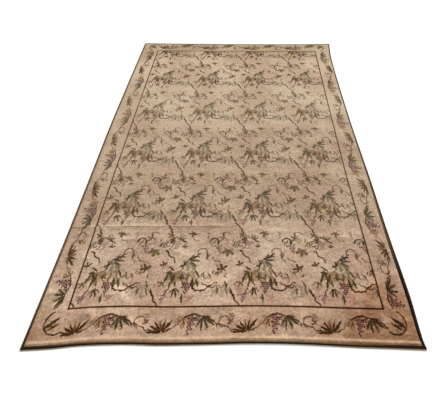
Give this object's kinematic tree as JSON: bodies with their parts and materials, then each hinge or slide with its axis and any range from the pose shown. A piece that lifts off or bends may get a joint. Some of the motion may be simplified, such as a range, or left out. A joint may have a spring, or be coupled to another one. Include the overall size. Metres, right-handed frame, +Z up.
{
  "type": "needlepoint rug",
  "caption": "Flat rectangular needlepoint rug worked with grapevine on a tan ground, with a vine border, dark bound edges and a cotton backing.",
  "frame": {"origin": "on the floor under the middle of the rug's box", "axes": "+X across the rug to its right edge, +Y along it from the front end to the back end, +Z up from the floor"},
  "size_m": [1.8476, 2.7538, 0.0116],
  "materials": {
    "worked_wool": "matte wool stitches over canvas",
    "backing_cotton": "matte plain-woven cotton",
    "binding_wool": "matte overcast wool"
  },
  "bodies": {
    "root": {"needlepoint_face": "worked_wool", "backing_cloth": "backing_cotton", "binding_front": "binding_wool", "binding_back": "binding_wool", "binding_left": "binding_wool", "binding_right": "binding_wool"}
  },
  "joints": []
}
